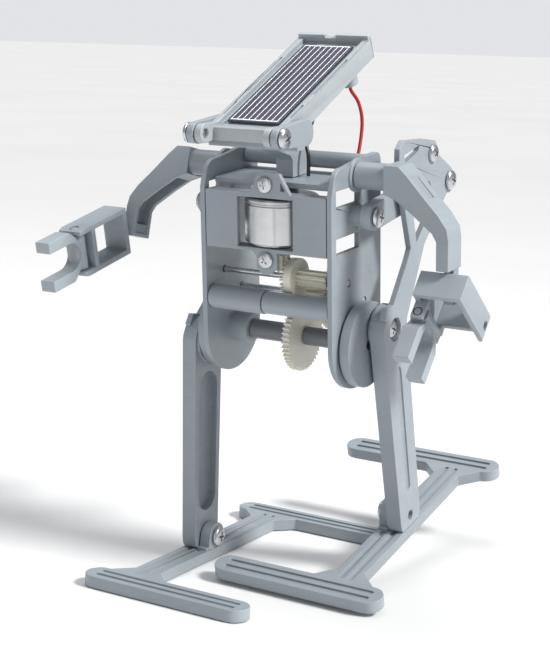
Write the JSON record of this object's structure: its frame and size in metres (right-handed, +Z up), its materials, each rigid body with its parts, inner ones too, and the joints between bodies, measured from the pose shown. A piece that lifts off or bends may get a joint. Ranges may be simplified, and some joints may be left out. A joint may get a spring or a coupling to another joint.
{
  "type": "solar walking robot kit",
  "caption": "Two-legged walking robot with open side plates, a geared motor, crank legs with broad feet, clawed arms and a tilted solar panel on top.",
  "frame": {"origin": "ground under the middle of the robot's bounding box, wires left out", "axes": "+Z up, -Y towards the robot's front, +X to the robot's left"},
  "size_m": [0.1298, 0.136, 0.1818],
  "materials": {
    "grey_plastic": "satin moulded",
    "dark_plastic": "satin moulded",
    "nylon": "satin natural nylon",
    "steel": "bright plated",
    "cell": "glossy laminate",
    "red_pvc": "soft gloss",
    "black_pvc": "soft gloss"
  },
  "bodies": {
    "torso": {"left_side_plate": "grey_plastic", "right_side_plate": "grey_plastic", "motor_cover": "grey_plastic", "motor_can": "steel", "motor_end_cap": "dark_plastic", "upper_cover_screw": "steel", "lower_cover_screw": "steel", "deck_plate": "grey_plastic", "neck": "grey_plastic", "panel_bracket": "grey_plastic", "rear_cross_tube": "grey_plastic", "left_spacer_post": "grey_plastic", "right_spacer_post": "grey_plastic", "left_rocker_screw": "steel", "right_rocker_screw": "steel", "left_hinge_screw": "steel", "right_hinge_screw": "steel", "crown_shaft": "steel", "compound_shaft": "steel", "red_wire": "red_pvc", "black_wire": "black_pvc"},
    "rotor": {"motor_pinion": "nylon"},
    "crown": {"crown_gear": "nylon"},
    "compound": {"compound_gear": "nylon"},
    "crank": {"crank_axle": "steel", "crank_gear": "nylon", "left_axle_sleeve": "dark_plastic", "right_axle_sleeve": "dark_plastic", "left_crank_disc": "grey_plastic", "right_crank_disc": "grey_plastic", "left_crank_screw": "steel", "right_crank_screw": "steel"},
    "panel": {"panel_frame": "grey_plastic", "solar_cell": "cell"},
    "left_leg_set": {"left_leg": "grey_plastic", "left_foot": "grey_plastic", "left_ankle_screw": "steel", "left_lever_end_screw": "steel", "left_lever_tip_screw": "steel"},
    "left_rocker_link": {"left_rocker": "grey_plastic"},
    "left_arm_link": {"left_arm": "grey_plastic"},
    "left_hand": {"left_hand_bracket": "grey_plastic"},
    "left_grip": {"left_claw": "grey_plastic"},
    "right_leg_set": {"right_leg": "grey_plastic", "right_foot": "grey_plastic", "right_ankle_screw": "steel", "right_lever_end_screw": "steel", "right_lever_tip_screw": "steel"},
    "right_rocker_link": {"right_rocker": "grey_plastic"},
    "right_arm_link": {"right_arm": "grey_plastic"},
    "right_hand": {"right_hand_bracket": "grey_plastic"},
    "right_grip": {"right_claw": "grey_plastic"}
  },
  "joints": [
    {"name": "crank_turn", "type": "hinge", "parent": "torso", "child": "crank", "pos_m": [-0.00035, -0.0095, 0.08224], "axis": [1, 0, 0], "range_deg": [0, 180]},
    {"name": "left_leg_swing", "type": "hinge", "parent": "crank", "child": "left_leg_set", "pos_m": [-0.00035, -0.00434, 0.08726], "axis": [1, 0, 0], "range_deg": [-200, 10]},
    {"name": "right_leg_swing", "type": "hinge", "parent": "crank", "child": "right_leg_set", "pos_m": [-0.00035, -0.01466, 0.07722], "axis": [1, 0, 0], "range_deg": [-175, 10]},
    {"name": "left_rocker_swing", "type": "hinge", "parent": "torso", "child": "left_rocker_link", "pos_m": [-0.00035, -0.01587, 0.12464], "axis": [1, 0, 0], "range_deg": [-30, 10]},
    {"name": "right_rocker_swing", "type": "hinge", "parent": "torso", "child": "right_rocker_link", "pos_m": [-0.00035, -0.01587, 0.12464], "axis": [1, 0, 0], "range_deg": [-10, 30]},
    {"name": "compound_spin", "type": "hinge", "parent": "torso", "child": "compound", "pos_m": [-0.00035, -0.00609, 0.09592], "axis": [1, 0, 0], "range_deg": [-830, 5]},
    {"name": "crown_spin", "type": "hinge", "parent": "torso", "child": "crown", "pos_m": [-0.00035, -0.01729, 0.10272], "axis": [1, 0, 0], "range_deg": [-5, 3480]},
    {"name": "motor_spin", "type": "hinge", "parent": "torso", "child": "rotor", "pos_m": [-0.00035, -0.0182, 0.11268], "axis": [0, -0.0906, 0.9959], "range_deg": [-10440, 5]},
    {"name": "left_shoulder", "type": "hinge", "parent": "torso", "child": "left_arm_link", "pos_m": [-0.00035, -0.01543, 0.13743], "axis": [1, 0, 0], "range_deg": [-100, 50]},
    {"name": "right_shoulder", "type": "hinge", "parent": "torso", "child": "right_arm_link", "pos_m": [-0.00035, -0.01543, 0.13743], "axis": [1, 0, 0], "range_deg": [-85, 50]},
    {"name": "left_wrist", "type": "hinge", "parent": "left_arm_link", "child": "left_hand", "pos_m": [0.05665, -0.01851, 0.10589], "axis": [0, 0.7793, -0.6266], "range_deg": [-12, 12]},
    {"name": "right_wrist", "type": "hinge", "parent": "right_arm_link", "child": "right_hand", "pos_m": [-0.05795, -0.02709, 0.11258], "axis": [0, -0.9736, -0.2284], "range_deg": [-25, 25]},
    {"name": "left_claw_tilt", "type": "hinge", "parent": "left_hand", "child": "left_grip", "pos_m": [0.05035, -0.01452, 0.09241], "axis": [0, 0.7793, -0.6266], "range_deg": [-12, 12]},
    {"name": "right_claw_tilt", "type": "hinge", "parent": "right_hand", "child": "right_grip", "pos_m": [-0.06035, -0.04961, 0.10833], "axis": [0, -0.2284, 0.9736], "range_deg": [-12, 12]},
    {"name": "panel_tilt", "type": "hinge", "parent": "torso", "child": "panel", "pos_m": [-0.00035, -0.04857, 0.14968], "axis": [1, 0, 0], "range_deg": [0, 15], "deforming": ["red_wire", "black_wire"]}
  ],
  "couplings": [
    {"joint": "left_leg_swing", "follows": "crank_turn", "ratio": -1.0757},
    {"joint": "right_leg_swing", "follows": "crank_turn", "ratio": -0.92427},
    {"joint": "left_rocker_swing", "follows": "crank_turn", "ratio": -0.13172},
    {"joint": "right_rocker_swing", "follows": "crank_turn", "ratio": 0.13172},
    {"joint": "compound_spin", "follows": "crank_turn", "ratio": -4.6},
    {"joint": "crown_spin", "follows": "crank_turn", "ratio": 19.32},
    {"joint": "motor_spin", "follows": "crank_turn", "ratio": -57.96}
  ]
}
